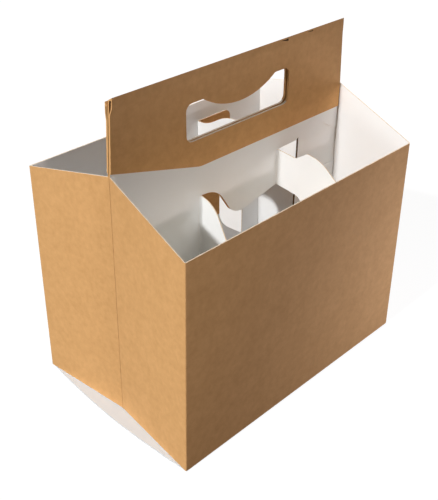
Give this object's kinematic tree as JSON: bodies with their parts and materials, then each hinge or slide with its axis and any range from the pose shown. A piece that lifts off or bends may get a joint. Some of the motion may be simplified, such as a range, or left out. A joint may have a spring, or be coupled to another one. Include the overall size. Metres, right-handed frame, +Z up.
{
  "type": "bottle carrier box",
  "caption": "Folded kraft board basket carrier for bottles: open cells between struck dividers, rising ends and a doubled handle wall with a hand hole",
  "frame": {"origin": "centre of the carrier's length and depth, on the surface it stands on", "axes": "+X along the long sides and the handle, towards the end that bulges out; +Y across the carrier; +Z up"},
  "size_m": [0.2122, 0.134, 0.212],
  "materials": {
    "board": "matte kraft-brown outside, coated white inside"
  },
  "bodies": {
    "root": {"carrier": "board"}
  },
  "joints": []
}
